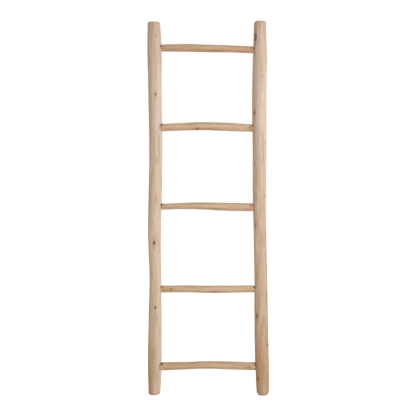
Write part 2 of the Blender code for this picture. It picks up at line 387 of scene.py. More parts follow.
PARED_TOWARDS = math.radians(118)      # 90 is up, 180 to the front
TORN_TOWARDS = math.radians(104)


def tenon_reach(joint, theta):
    """Distance from the rung's axis to the tenon's surface, pared off at its top and front."""
    drop = joint["drop"]
    r = -drop * np.sin(theta) + np.sqrt(joint["thick"] ** 2 - (drop * np.cos(theta)) ** 2)
    lean = np.cos(theta - PARED_TOWARDS)
    flat = (joint["thick"] - drop * math.sin(PARED_TOWARDS) - joint["pared"]) / np.maximum(lean, 0.05)
    return np.where(lean > 0.2, np.minimum(r, flat), r)


def outside(joint, x, y, z):
    """How far points of a rung lie outside its pole; negative inside it."""
    return np.hypot(x - joint["x"], y - joint["y"]) - joint["r"]


def whittle(rung):
    """The knife cuts that bring each end of a rung down to its tenon."""
    rung.cuts = []
    for joint in rung.joints:
        thick, pared, start, torn, notch, smear = JOINTS[(rung.name, joint["side"])]
        full = float(rung.radius(np.array([joint["mouth"]]))[0])
        joint.update(thick=thick * MM, pared=pared * MM, torn=torn * MM, notch=notch, smear=smear,
                     full=full, drop=max(0.0, full - (thick + 0.4) * MM))
        joint["vz"] = float(rung.centre(np.array([joint["mouth"]]))[0][1]) - joint["drop"]
        rng = np.random.default_rng(rung.seed + 5 + joint["side"])
        for k in range(13):
            theta = k * 2 * math.pi / 13 + rng.uniform(-0.14, 0.14)
            reach = float(tenon_reach(joint, np.array([theta]))[0]) + 0.15 * MM
            over = max(0.0, math.cos(theta - PARED_TOWARDS)) ** 3
            run = (start * over + rng.uniform(5.0, 10.0) * (1 - over)) * MM
            rung.cuts.append((joint, theta, reach, run))
        for _ in range(46):       # rasp and knife marks over the last 20 mm
            out = rng.uniform(-2, 20)
            rung.flats.append((rng.uniform(-math.pi, math.pi), joint["mouth"] - joint["side"] * out * MM,
                               rng.uniform(0.18, 0.55) * MM, rng.uniform(2.4, 5.5) * MM, rng.uniform(-6, 6)))
    rng = np.random.default_rng(rung.seed + 3)
    for _ in range(34):           # long drawknife flats along the rest
        rung.flats.append((rng.uniform(-math.pi, math.pi), rng.uniform(rung.x0, rung.x1),
                           rng.uniform(0.08, 0.32) * MM, rng.uniform(22, 70) * MM, rng.uniform(-1.0, 1.0)))


def rung_cut(rung, theta, s, r):
    for joint, theta_f, reach, run in rung.cuts:
        gap = (s - joint["mouth"]) * -joint["side"]
        m = gap < 16 * MM
        if not m.any():
            continue
        d = turn(theta[m] - theta_f)
        p = reach + (joint["full"] + 0.4 * MM - reach) * np.maximum(gap[m], -1 * MM) / run
        plane = p / np.maximum(np.cos(d), 0.05)
        r[m] = np.where(np.cos(d) > 0.3, np.minimum(r[m], plane), r[m])
    for joint in rung.joints:
        gap = (s - joint["mouth"]) * -joint["side"]
        m = gap < 20 * MM
        out = np.where(m, outside(joint, s, joint["ty"] + joint["thick"] * np.cos(theta), 0), 1.0)
        inside = step(1.2 * MM, -1.2 * MM, out)
        r = np.where(inside > 0, np.minimum(r, tenon_reach(joint, theta) + (1 - inside) * 3 * MM), r)
        tip = (SOCKET_DEPTH - TENON_END_GAP) + gap      # distance from the tenon's end
        r = np.where(tip < 1.5 * MM, r - (1.5 * MM - np.maximum(tip, 0)) * 0.8, r)
    return r


def lip(joint, y, z):
    """How far a point of a pole lies outside a hole's mouth, and how near its top."""
    dy, dz = y - joint["ty"], z - joint["vz"]
    over = np.maximum(np.cos(np.arctan2(dz, dy) - TORN_TOWARDS), 0)
    return np.hypot(dy, dz) - joint["hole"] - joint["torn"] * over**3, over


def rail_cut(rail, theta, s, r):
    """The mouths of the sockets are bruised a little where they were bored."""
    for joint in rail.sockets:
        m = np.abs(s - joint["vz"]) < 30 * MM
        if not m.any():
            continue
        out, over = lip(joint, r[m] * np.sin(theta[m]) + joint["y"], s[m])
        inner = np.cos(theta[m]) * -rail.side > 0
        rim = np.exp(-(np.maximum(out, 0) / (1.2 * MM)) ** 2) * inner
        rough = 0.6 + 0.4 * noise(theta[m] * 14, s[m] * 300, 0.0, rail.seed + 60)
        r[m] = r[m] - (0.35 + 0.5 * over) * MM * rim * rough
    return r


for rung in rungs.values():
    whittle(rung)
for rail in rails.values():
    rail.sockets = []
for rung in rungs.values():
    for joint in rung.joints:
        joint["hole"] = joint["thick"] + 0.15 * MM
        joint["rail"].sockets.append(joint)


# --------------------------------------------------------------------- meshes

def mesh_from(name, co, quads, tris=()):
    me = bpy.data.meshes.new(name)
    quads, tris = np.asarray(quads, np.int32).reshape(-1, 4), np.asarray(tris, np.int32).reshape(-1, 3)
    me.vertices.add(len(co))
    me.vertices.foreach_set("co", np.asarray(co, np.float32).ravel())
    me.loops.add(quads.size + tris.size)
    me.loops.foreach_set("vertex_index", np.concatenate([quads.ravel(), tris.ravel()]))
    me.polygons.add(len(quads) + len(tris))
    start = np.concatenate([np.arange(len(quads)) * 4, quads.size + np.arange(len(tris)) * 3])
    me.polygons.foreach_set("loop_start", start.astype(np.int32))
    me.update(calc_edges=True)
    me.validate()
    return me


def lofted(name, rings):
    """A closed mesh through rings of equal count, with a fan at each end."""
    rings = np.asarray(rings, float)
    n, k = rings.shape[0], rings.shape[1]
    co = np.concatenate([rings.reshape(-1, 3), rings[0].mean(0)[None], rings[-1].mean(0)[None]])
    i, j = np.meshgrid(np.arange(n - 1), np.arange(k), indexing="ij")
    j2 = (j + 1) % k
    quads = np.stack([i * k + j, i * k + j2, (i + 1) * k + j2, (i + 1) * k + j], -1).reshape(-1, 4)
    j = np.arange(k)
    j2 = (j + 1) % k
    first = np.stack([np.full(k, n * k), j2, j], -1)
    last = np.stack([np.full(k, n * k + 1), (n - 1) * k + j, (n - 1) * k + j2], -1)
    return mesh_from(name, co, quads, np.concatenate([first, last]))


def add(name, me):
    ob = bpy.data.objects.new(name, me)
    bpy.context.scene.collection.objects.link(ob)
    return ob


def surface(branch, s, around, cap_rings):
    """Rings of a branch from end to end, with its two sawn ends."""
    theta = np.linspace(-np.pi, np.pi, around, endpoint=False)
    S, TH = np.meshgrid(s, theta, indexing="ij")
    r0 = branch.radius(s)[:, None] * np.ones_like(TH)
    r = branch.grown(TH, S, r0)
    r = branch.cut(TH, S, r)
    r = rung_cut(branch, TH, S, r) if branch.kind == "rung" else rail_cut(branch, TH, S, r)
    side = branch.to_world(TH, S, r)
    share = np.linspace(0, 1, cap_rings + 1)[1:-1] ** 0.8

    def cap(k, inwards):
        centre = branch.centre(np.array([s[k]]))[0]
        out = []
        for f in share:
            rr = r[k] * f
            a, b = rr * np.cos(theta), rr * np.sin(theta)
            kerf = 0.10 * MM * np.sin((a * 0.8 + b * 0.6) / (0.55 * MM) + 2.5 * noise(a * 90, b * 90, 0.0, branch.seed + 30))
            rough = 0.16 * MM * noise(a * 260, b * 260, 3.0, branch.seed + 31)
            sunk = (0.22 * MM + kerf + rough) * (1 - f**6)
            z = s[k] + inwards * np.maximum(sunk, 0.0)
            p = np.stack([centre[0] + a, centre[1] + b, z] if branch.kind == "rail"
                         else [z, centre[0] + a, centre[1] + b], -1)
            out.append(p)
        return out

    low, high = cap(0, 1), cap(-1, -1)
    return np.array(low + list(side) + high[::-1])


def boolean(ob, cutters, name):
    """Takes the cutters, which lie clear of each other, out of ob."""
    joined = bmesh.new()
    for me in cutters:
        joined.from_mesh(me)
    me = bpy.data.meshes.new(name)
    joined.to_mesh(me)
    joined.free()
    tool = add(name, me)
    mod = ob.modifiers.new(name, "BOOLEAN")
    mod.operation, mod.object, mod.solver = "DIFFERENCE", tool, "MANIFOLD"
    bpy.context.view_layer.update()
    done = bpy.data.meshes.new_from_object(ob.evaluated_get(bpy.context.evaluated_depsgraph_get()))
    ob.modifiers.clear()
    old, ob.data = ob.data, done
    bpy.data.meshes.remove(old)
    bpy.data.objects.remove(tool)
    for m in [me, *cutters]:
        bpy.data.meshes.remove(m)


def socket_mesh(joint, seed):
    """A bored hole, torn at the top of its mouth, from its bottom out past the pole."""
    side, k = joint["side"], 64
    phi = np.linspace(0, 2 * np.pi, k, endpoint=False)
    over = np.maximum(np.cos(phi - TORN_TOWARDS), 0) ** 3
    deep, out = joint["bottom"], joint["mouth"] - side * 14 * MM
    rings = []
    for t in np.linspace(0, 1, 34):
        x = deep + (out - deep) * t
        rough = 0.25 * MM * (0.5 + 0.5 * noise(np.cos(phi) * 2.2, np.sin(phi) * 2.2, x * 120, seed))
        tear = 1 + 0.35 * noise(np.cos(phi) * 5, np.sin(phi) * 5, x * 260, seed + 1)
        near = step(9 * MM, 1 * MM, (x - joint["mouth"]) * side)
        a = joint["hole"] + rough + joint["torn"] * over * tear * near
        rings.append(np.stack([np.full(k, x), joint["ty"] + a * np.cos(phi), joint["vz"] + a * np.sin(phi)], -1))
    return lofted("socket_cut", rings if side < 0 else rings[::-1])


def drill_mesh(joint):
    """The hole for a peg, from the back of the pole through the tenon."""
    k, radius = 28, PEG_RADIUS + 0.35 * MM
    far = joint["ty"] - joint["tenon"] - PEG_PAST_TENON - 0.5 * MM
    phi = np.linspace(0, 2 * np.pi, k, endpoint=False)
    px = joint["x"] - joint["side"] * PEG_INSET
    back = joint["y"] + math.sqrt(joint["r"] ** 2 - PEG_INSET**2)
    rings = [np.stack([px + radius * np.cos(phi), np.full(k, y), joint["tz"] + radius * np.sin(phi)], -1)
             for y in (far, back + 12 * MM)]
    return lofted("drill_cut", rings[::-1])


def fix_normals(ob):
    bm = bmesh.new()
    bm.from_mesh(ob.data)
    bmesh.ops.recalc_face_normals(bm, faces=bm.faces)
    bm.to_mesh(ob.data)
    bm.free()


def set_attribute(me, name, kind, values):
    found = me.attributes.get(name) or me.attributes.new(name, kind, "POINT")
    key = "vector" if kind == "FLOAT_VECTOR" else "value"
    found.data.foreach_set(key, np.asarray(values, np.float32).ravel())


def dress(branch, ob):
    """Writes what the wood material reads: where each point lies in the tree.

    grain  the point in the log with its spiral and the swerve round knots (m)
    figure depth under the grown surface (m), how far it is cut, end grain
    knot   distances across and along from the nearest knot, in knot sizes, and its darkness
    tone   brown, pink and brightness
    trait  the knot's hue, painted shade with some grime in holes and joints, darker bands at the pole ends
    """
    me = ob.data
    co = np.empty(len(me.vertices) * 3, np.float32)
    me.vertices.foreach_get("co", co)
    co = co.reshape(-1, 3).astype(float)
    theta, s, r = branch.from_world(co)
    r0 = branch.radius(s)
    grown = branch.grown(theta, s, r0)
    depth = np.maximum(grown - r, 0.0)
    mean = float(branch.radius(np.linspace(branch.s0, branch.s1, 40)).mean())
    ring = mean - depth
    swirl = branch.warp(theta, s, r0)
    set_attribute(me, "grain", "FLOAT_VECTOR", np.stack([ring * np.cos(swirl), ring * np.sin(swirl), s], -1))
    gap = np.minimum(s - branch.s0, branch.s1 - s)
    near_end = step(26 * MM, 12 * MM, gap)
    blotch = round_noise(theta, s, 7.0, 260, branch.seed + 90)
    if branch.kind == "rail":
        foot = s - branch.s0 + 1.2 * MM * blotch
        top = branch.s1 - s + 1.2 * MM * blotch
        cut = np.maximum(step(0.15 * MM, 0.7 * MM, depth) * near_end, 0.6 * step(11 * MM, 3 * MM, top))
        # painted shade: the walls of the bored holes, below the grown surface, are darkened
        hole = step(0.8 * MM, 4 * MM, depth) * (1 - near_end)
        # darker bands along the top rim and just above the foot
        hole = np.maximum(hole, 0.16 * step(2.6 * MM, 0.8 * MM, top))
        hole = np.maximum(hole, 0.24 * step(6.5 * MM, 3.0 * MM, foot))
        # painted shade, with some grime, round each socket's mouth on the pole's inner side, most of all at its top
        for joint in branch.sockets:
            m = (np.abs(s - joint["vz"]) < 40 * MM) & (np.cos(theta) * -branch.side > 0)
            out, over = lip(joint, co[m, 1], s[m])
            rim = np.exp(-(np.maximum(out, 0) / (1.0 * MM + 1.6 * MM * over * joint["notch"])) ** 2)
            rim = rim * np.clip(0.25 * joint["smear"] + 0.55 * joint["notch"] * over**2 + 0.35 * blotch[m], 0, 1)
            hole[m] = np.maximum(hole[m], rim)
    else:
        cut = step(0.25 * MM, 1.2 * MM, depth) * 0.4
        hole = np.zeros_like(depth)
        for joint in branch.joints:
            out = (s - joint["mouth"]) * -joint["side"]
            cut = np.maximum(cut, step(20 * MM, 9 * MM, out + 5 * MM * blotch))
            # painted shade on the tenon inside the pole, and painted shade with some grime round the mouth
            off = np.where(out < 40 * MM, outside(joint, co[:, 0], co[:, 1], 0), 1.0)
            hole = np.maximum(hole, step(-0.8 * MM, -4 * MM, off))
            hole = np.maximum(hole, joint["smear"] * step(0.9 * MM, -0.6 * MM, off + 0.7 * MM * blotch))
            # the notch at the hole's top front: painted shade, with some grime
            below = joint["vz"] + joint["thick"] - co[:, 2]        # under the hole's top
            spot = step(4.4 * MM, 2.4 * MM, out + 0.8 * MM * blotch) * step(5.6 * MM, 3.6 * MM, below + 0.8 * MM * blotch)
            hole = np.maximum(hole, joint["notch"] * 1.1 * spot * step(0.6, 0.3, np.cos(theta)))
    end = step(0.8 * MM, 0.3 * MM, gap)
    set_attribute(me, "figure", "FLOAT_VECTOR", np.stack([depth, cut, end], -1))
    best = np.full(len(s), 1e9)
    knot = np.zeros((len(s), 3))
    knot[:, 0] = 9.0
    hue, open_ring = np.zeros(len(s)), np.zeros(len(s))
    for theta_k, s_k, w, h, dark, tint, ring in branch.knots:
        du, ds = turn(theta - theta_k) * r0 / w, (s - s_k) / h
        d2 = du**2 + ds**2
        m = d2 < best
        best[m] = d2[m]
        knot[m] = np.stack([np.abs(du[m]), np.abs(ds[m]), np.full(m.sum(), dark)], -1)
        hue[m], open_ring[m] = tint, ring
    knot[:, :2] = np.minimum(knot[:, :2], 9)
    set_attribute(me, "knot", "FLOAT_VECTOR", knot)
    if branch.kind == "rail":
        brown, pink, bright = np.moveaxis(rows(TONES[branch.name], s / MM), -1, 0)
    else:
        brown, pink, bright = (np.full(len(s), v) for v in RUNG_TONES[branch.name])
    if branch.name == "right_rail":     # its outer edge is browner, most of all low down: partly its own tan, partly painted shade on its lit side
        low = step(1000 * MM, 250 * MM, s)
        brown = brown + 0.50 * np.exp(-(turn(theta + 0.42) / 0.40) ** 2) * low
        # painted shade and light: low down, its lit outer side is darker and its shaded inner flank lighter
        bright = bright * (1 - 0.08 * np.cos(theta) * low)
    if branch.kind == "rail":
        brown = brown + 0.5 * step(9 * MM, 4 * MM, foot)
        for height, deg, long, wide, more in PATCHES[branch.name]:
            du = turn(theta - math.radians(deg) + math.pi / 2) / math.radians(wide)
            ds = (s - height * MM) / (long * MM)
            bright = bright * (1 + more * np.exp(-du**2 - ds**4))
    brown = brown + 0.16 * round_noise(theta, s, 1.1, 7.0, branch.seed + 80)
    pink = pink + 0.12 * round_noise(theta, s, 1.4, 9.0, branch.seed + 81)
    set_attribute(me, "tone", "FLOAT_VECTOR", np.stack([brown, pink, bright], -1))
    set_attribute(me, "trait", "FLOAT_VECTOR", np.stack([hue, hole, open_ring], -1))


def lay_out(branch, ob, side, strips, wide):
    """A map of the surface in strips side by side, for anything that needs one."""
    me = ob.data
    n = len(me.loops)
    vert = np.empty(n, np.int32)
    me.loops.foreach_get("vertex_index", vert)
    co = np.empty(len(me.vertices) * 3, np.float32)
    me.vertices.foreach_get("co", co)
    co = co.reshape(-1, 3).astype(float)
    start = np.empty(len(me.polygons), np.int32)
    total = np.empty(len(me.polygons), np.int32)
    me.polygons.foreach_get("loop_start", start)
    me.polygons.foreach_get("loop_total", total)
    normal = np.empty(len(me.polygons) * 3, np.float32)
    me.polygons.foreach_get("normal", normal)
    normal = normal.reshape(-1, 3)
    centre = np.empty(len(me.polygons) * 3, np.float32)
    me.polygons.foreach_get("center", centre)
    centre = centre.reshape(-1, 3).astype(float)
    face = np.repeat(np.arange(len(start)), total)
    order = np.argsort(start, kind="stable")
    face = np.repeat(order, total[order])
    th_f, s_f, r_f = branch.from_world(centre)
    back = math.pi / 2 if branch.kind == "rail" else 0.0      # the seam is at the back
    phi_f = turn(th_f - back - math.pi)
    th, s, r = branch.from_world(co[vert])
    phi = phi_f[face] + turn(turn(th - back - math.pi) - phi_f[face])
    length = branch.s1 - branch.s0
    run = length / strips
    k_f = np.clip(np.floor((s_f - branch.s0) / run), 0, strips - 1)
    mean = (wide - 4 * MM) / (2 * math.pi)
    u = (k_f[face] + 0.5) * wide + phi * mean
    v = 4 * MM + (s - branch.s0 - k_f[face] * run)
    axis = 2 if branch.kind == "rail" else 0
    gap_f = np.minimum(s_f - branch.s0, branch.s1 - s_f)
    capped = (np.abs(normal[:, axis]) > 0.75) & (gap_f < 2.5 * MM)
    top = (s_f > (branch.s0 + branch.s1) / 2)
    margin = strips * wide + 3 * MM
    room = side - margin - 3 * MM
    big = float(branch.radius(np.array([branch.s0, branch.s1])).max())
    scale = min(1.0, room / (2 * big))
    m = capped[face]
    u = np.where(m, margin + room / 2 + r * np.cos(th) * scale, u)
    v = np.where(m, 4 * MM + big * scale * (1 + 2.2 * top[face]) + r * np.sin(th) * scale, v)
    # walls of the holes: each in its own patch of the margin, turned round the hole's axis
    grown_f = branch.grown(th_f, s_f, branch.radius(s_f))
    deep = (~capped) & (grown_f - r_f > 1.0 * MM) & (gap_f > 30 * MM) if branch.kind == "rail" else np.zeros(len(s_f), bool)
    if deep.any():
        tall = 5.4 * big * scale
        patch = (side - tall - 8 * MM) / (2 * len(branch.sockets))
        for i, joint in enumerate(branch.sockets):
            y, z = joint["ty"], joint["vz"]
            px = joint["x"] - joint["side"] * PEG_INSET
            near = deep & (np.abs(s_f - z) < 30 * MM)
            drill = near & (np.hypot(centre[:, 0] - px, centre[:, 2] - joint["tz"]) < PEG_RADIUS + 0.6 * MM)
            for kind, sel in ((0, near & ~drill), (1, drill)):
                sel_l = sel[face]
                if not sel_l.any():
                    continue
                p, q = co[vert[sel_l]], centre[face[sel_l]]
                if kind == 0:
                    ang = np.arctan2(p[:, 2] - z, p[:, 1] - y)
                    ang_f = np.arctan2(q[:, 2] - z, q[:, 1] - y)
                    deepness = np.abs(p[:, 0] - joint["bottom"]) / (44 * MM)
                else:
                    ang = np.arctan2(p[:, 2] - joint["tz"], p[:, 0] - px)
                    ang_f = np.arctan2(q[:, 2] - joint["tz"], q[:, 0] - px)
                    deepness = np.abs(p[:, 1] - joint["y"] + 25 * MM) / (70 * MM)
                ang = ang_f + turn(ang - ang_f)
                u[sel_l] = margin + room * (0.5 + 0.47 * ang / math.pi)
                v[sel_l] = tall + patch * (2 * i + kind + 0.06 + 0.86 * np.clip(deepness, 0, 1))
    uv = me.uv_layers.new(name="OFBake")
    out = np.empty((n, 2), np.float32)
    out[:, 0], out[:, 1] = u / side, v / side
    uv.uv.foreach_set("vector", np.clip(out, 0.0, 1.0).ravel())


# ------------------------------------------------------------------ materials

def linear(r, g, b):
    """An 8-bit display colour as the linear one a shader takes."""
    out = []
    for c in (r, g, b):
        c = c / 255.0
        out.append(c / 12.92 if c <= 0.04045 else ((c + 0.055) / 1.055) ** 2.4)
    return (*out, 1.0)


class Nodes:
    """Shorthand for building a material's node tree."""

    def __init__(self, name):
        self.material = bpy.data.materials.new(name)
        self.material.use_nodes = True
        self.tree = self.material.node_tree
        self.tree.nodes.clear()
        self.count = 0

    def node(self, kind, **settings):
        n = self.tree.nodes.new(kind)
        n.location = (220 * (self.count // 6), -180 * (self.count % 6))
        self.count += 1
        for key, value in settings.items():
            setattr(n, key, value)
        return n

    def put(self, socket, value):
        if isinstance(value, bpy.types.NodeSocket):
            self.tree.links.new(value, socket)
        else:
            socket.default_value = value

    def math(self, operation, a, b=0.0, c=0.0, clamp=False):
        n = self.node("ShaderNodeMath", operation=operation, use_clamp=clamp)
        for socket, value in zip(n.inputs, (a, b, c)):
            self.put(socket, value)
        return n.outputs[0]

    def add(self, a, b): return self.math("ADD", a, b)
    def sub(self, a, b): return self.math("SUBTRACT", a, b)
    def mul(self, a, b): return self.math("MULTIPLY", a, b)

    def smooth(self, value, low, high, to_low=0.0, to_high=1.0):
        n = self.node("ShaderNodeMapRange", interpolation_type="SMOOTHSTEP")
        for key, v in (("Value", value), ("From Min", low), ("From Max", high), ("To Min", to_low), ("To Max", to_high)):
            self.put(n.inputs[key], v)
        return n.outputs[0]

    def scale(self, vector, x, y, z, move=(0, 0, 0)):
        n = self.node("ShaderNodeMapping")
        self.put(n.inputs["Vector"], vector)
        n.inputs["Scale"].default_value = (x, y, z)
        n.inputs["Location"].default_value = move
        return n.outputs[0]

    def noise(self, vector, detail=2.0, roughness=0.5, distortion=0.0, scale=1.0):
        n = self.node("ShaderNodeTexNoise")
        self.put(n.inputs["Vector"], vector)
        n.inputs["Scale"].default_value = scale
        n.inputs["Detail"].default_value = detail
        n.inputs["Roughness"].default_value = roughness
        n.inputs["Distortion"].default_value = distortion
        return n.outputs["Fac"]

    def mix(self, factor, a, b, blend="MIX"):
        n = self.node("ShaderNodeMix", data_type="RGBA", blend_type=blend, clamp_factor=True)
        self.put(n.inputs["Factor"], factor)
        self.put(n.inputs["A"] if False else n.inputs[6], a)
        self.put(n.inputs[7], b)
        return n.outputs[2]

    def attribute(self, name):
        return self.node("ShaderNodeAttribute", attribute_name=name, attribute_type="GEOMETRY").outputs["Vector"]

    def parts(self, vector):
        n = self.node("ShaderNodeSeparateXYZ")
        self.put(n.inputs[0], vector)
        return n.outputs[0], n.outputs[1], n.outputs[2]


def wood(name, look):
    """Peeled wood. look holds the colours and how strongly each feature shows."""
    w = Nodes(name)
    grain = w.attribute("grain")
    gx, gy, gz = w.parts(grain)
    depth, cut, end = w.parts(w.attribute("figure"))
    ku, kv, dark = w.parts(w.attribute("knot"))
    brown, pink, bright = w.parts(w.attribute("tone"))
    hue, hole, ring = w.parts(w.attribute("trait"))
    o = look["offset"]

    # long streaks at several widths, all drawn out along the branch
    broad = w.noise(w.scale(grain, 48, 48, 4.0, (o, 0, 0)), 3, 0.5, 0.35)
    tint = w.noise(w.scale(grain, 100, 100, 15.0, (o, 2, 0)), 3, 0.6, 0.5)
    middle = w.noise(w.scale(grain, 125, 125, 8.5, (0, o, 0)), 4, 0.55, 0.5)
    lines = w.noise(w.scale(grain, 430, 430, 15, (0, 0, o)), 3, 0.6, 0.2)
    fibre = w.noise(w.scale(grain, 1700, 1700, 46, (o, o, 0)), 2, 0.6)
    cloud = w.noise(w.scale(grain, 26, 26, 14, (0, o, o)), 3, 0.5)
    speck = w.noise(w.scale(grain, 215, 215, 190, (o, 1, 4)), 2, 0.55)

    light, tan, rosy, umber = (look[k] for k in ("light", "tan", "rosy", "umber"))
    brownness = w.add(brown, w.mul(w.sub(broad, 0.5), look["broad"]))
    brownness = w.add(brownness, w.mul(w.sub(cloud, 0.5), 0.55))
    colour = w.mix(w.smooth(brownness, 0.0, 1.0), light, tan)
    pinkness = w.add(pink, w.mul(w.sub(tint, 0.5), look["tint"]))
    colour = w.mix(w.mul(w.smooth(pinkness, 0.25, 1.0), look["pink"]), colour, rosy)
    colour = w.mix(w.mul(w.smooth(pinkness, 0.35, -0.5), look["pink"]), colour, look["olive"])
    streak = w.smooth(middle, 0.53, 0.70)
    colour = w.mix(w.mul(streak, look["streak"]), colour, umber)
    line = w.smooth(lines, 0.55, 0.75)
    colour = w.mix(w.mul(line, look["line"]), colour, umber)
    pale = w.smooth(w.add(w.mul(lines, 0.5), w.mul(middle, 0.5)), 0.46, 0.30)
    colour = w.mix(w.mul(pale, look["pale"]), colour, look["white"])
    thread = w.smooth(fibre, 0.60, 0.75)
    colour = w.mix(w.mul(thread, look["fibre"]), colour, umber)

    # growth rings, seen where the wood is cut across or deep
    radial = w.math("SQRT", w.add(w.mul(gx, gx), w.mul(gy, gy)))
    wander = w.mul(w.sub(w.noise(w.scale(grain, 60, 60, 8, (o, 3, 1)), 2, 0.5), 0.5), 0.0022)
    phase = w.math("FRACT", w.mul(w.add(radial, wander), 1 / look["ring"]))
    late = w.mul(w.smooth(phase, 0.45, 0.88), w.smooth(phase, 1.0, 0.93))
    colour = w.mix(w.mul(cut, 0.58), colour, look["cut"])
    colour = w.mix(w.mul(w.mul(w.smooth(speck, 0.50, 0.66), cut), look["speck"]), colour, look["late"])
    colour = w.mix(w.mul(w.mul(w.smooth(speck, 0.50, 0.34), cut), look["speck"]), colour, look["white"])
    colour = w.mix(w.mul(late, w.add(w.mul(cut, 0.45), w.mul(end, 0.35))), colour, look["late"])
    ray = w.noise(w.scale(grain, 900, 900, 900, (o, 0, 2)), 2, 0.6)
    colour = w.mix(w.mul(w.mul(w.smooth(ray, 0.5, 0.72), cut), 0.30), colour, look["late"])
    colour = w.mix(w.mul(end, 0.40), colour, look["endgrain"])

    # knots: a stained halo, a dark outline, a darker heart with its own rings
    blur = w.mul(w.sub(w.noise(w.scale(grain, 420, 420, 260, (o, 5, 5)), 3, 0.6), 0.5), 0.55)
    d = w.add(w.math("SQRT", w.add(w.mul(ku, ku), w.mul(kv, kv))), blur)
    long_d = w.add(w.math("SQRT", w.add(w.mul(w.mul(ku, ku), 1.3), w.mul(w.mul(kv, kv), 0.16))), blur)
    halo = w.mul(w.smooth(long_d, 2.6, 0.6), w.math("MULTIPLY", dark, 0.62, clamp=True))
    warm = w.mix(w.smooth(hue, -0.2, 0.9), look["knot_halo"], look["knot_orange"])
    warm = w.mix(w.smooth(hue, -0.1, -0.8), warm, look["knot_grey"])
    colour = w.mix(halo, colour, warm)
    heart = w.mul(w.smooth(d, 1.15, 0.55), dark)
    heart_colour = w.mix(w.smooth(hue, -0.1, -0.8), w.mix(w.smooth(dark, 0.5, 0.95), warm, look["knot"]), look["knot_grey"])
    heart_colour = w.mix(w.mul(ring, w.smooth(w.add(d, w.mul(ku, 0.2)), 0.85, 0.45)), heart_colour, look["knot_pale"])
    colour = w.mix(w.mul(heart, 0.95), colour, heart_colour)
    rings = w.math("SINE", w.mul(d, 15.0))
    colour = w.mix(w.mul(w.mul(w.smooth(rings, 0.0, 1.0), heart), 0.35), colour, look["knot_dark"])
    rim = w.mul(w.mul(w.smooth(d, 0.72, 1.0), w.smooth(d, 1.35, 1.02)), w.smooth(dark, 0.3, 0.95))
    along = w.smooth(w.math("DIVIDE", w.mul(kv, kv), w.add(w.mul(d, d), 0.05)), 0.15, 0.7)
    rim = w.mul(rim, w.sub(1.0, w.mul(w.mul(ring, 0.8), w.sub(1.0, along))))
    colour = w.mix(w.mul(rim, w.add(0.72, w.mul(ring, 0.28))), colour, look["knot_dark"])
    pith = w.mul(w.mul(w.smooth(d, 0.34, 0.12), w.smooth(dark, 0.6, 0.95)), w.sub(1.0, ring))
    colour = w.mix(w.mul(pith, 0.8), colour, look["knot_dark"])

    # brightness, then painted shade, with some grime, in the holes and joints
    level = w.add(w.mul(w.sub(middle, 0.5), -0.34), w.mul(w.sub(cloud, 0.5), 0.22))
    level = w.mul(bright, w.add(w.add(1.0, level), w.mul(w.sub(tint, 0.5), -0.22)))
    n = w.node("ShaderNodeVectorMath", operation="SCALE")
    w.put(n.inputs[0], colour)
    w.put(n.inputs["Scale"], level)
    colour = w.mix(w.math("MULTIPLY", hole, 1.0, clamp=True), n.outputs[0], look["shade_and_grime"])

    shader = w.node("ShaderNodeBsdfPrincipled")
    w.put(shader.inputs["Base Color"], colour)
    rough = w.add(look["rough"], w.mul(w.sub(middle, 0.5), 0.22))
    rough = w.sub(rough, w.mul(heart, 0.12))
    rough = w.add(rough, w.add(w.mul(cut, 0.10), w.mul(hole, 0.30)))
    w.put(shader.inputs["Roughness"], rough)
    shader.inputs["IOR"].default_value = 1.45
    shader.inputs["Specular IOR Level"].default_value = look["gloss"]
    height = w.add(w.mul(lines, 0.5), w.add(w.mul(fibre, 0.35), w.mul(middle, 0.6)))
    height = w.sub(height, w.mul(w.mul(late, cut), 0.5))
    height = w.sub(height, w.mul(rim, 1.2))
    bump = w.node("ShaderNodeBump")
    bump.inputs["Strength"].default_value = 0.55
    bump.inputs["Distance"].default_value = 0.00035
    w.put(bump.inputs["Height"], height)
    w.put(shader.inputs["Normal"], bump.outputs["Normal"])
    out = w.node("ShaderNodeOutputMaterial")
    w.put(out.inputs["Surface"], shader.outputs[0])
    return w.material


RAIL_LOOK = {
    "light": linear(226, 209, 191), "tan": linear(202, 168, 132), "rosy": linear(230, 201, 191),
    "olive": linear(190, 172, 136), "umber": linear(180, 146, 112), "white": linear(236, 222, 207),
    "cut": linear(222, 190, 152), "late": linear(168, 124, 84), "endgrain": linear(205, 172, 136),
    "knot": linear(136, 89, 53), "knot_dark": linear(90, 54, 28), "knot_pale": linear(186, 150, 112),
    "knot_halo": linear(190, 150, 116), "knot_orange": linear(208, 152, 110),
    # the last colour here is a dark brown painted in holes and joints: painted shade, with some grime
    "knot_grey": linear(158, 142, 136), "shade_and_grime": linear(84, 38, 10),
    "broad": 1.6, "pink": 0.55, "tint": 3.4, "streak": 0.42, "line": 0.35, "pale": 0.40, "fibre": 0.25,
    "speck": 0.35, "ring": 0.0021, "rough": 0.62, "gloss": 0.28, "offset": 3.0,
}
RUNG_LOOK = dict(
    RAIL_LOOK,
    light=linear(224, 200, 172), tan=linear(204, 167, 133), rosy=linear(221, 188, 167),
    olive=linear(196, 168, 132), umber=linear(168, 128, 92), white=linear(240, 220, 192),
    cut=linear(234, 206, 170), late=linear(166, 118, 76), knot_halo=linear(180, 130, 90),
    knot_orange=linear(206, 138, 82),
    broad=1.7, pink=0.60, tint=3.0, streak=0.60, line=0.50, pale=0.60, speck=1.0, ring=0.0016, rough=0.58, gloss=0.32, offset=11.0,
)
PEG_LOOK = dict(
    RUNG_LOOK,
    light=linear(176, 132, 92), tan=linear(150, 104, 66), rosy=linear(160, 112, 78),
    olive=linear(146, 108, 70), umber=linear(112, 72, 44), white=linear(190, 150, 110),
    cut=linear(168, 122, 82), late=linear(104, 66, 40), endgrain=linear(146, 102, 66),
    ring=0.0009, offset=21.0,
)
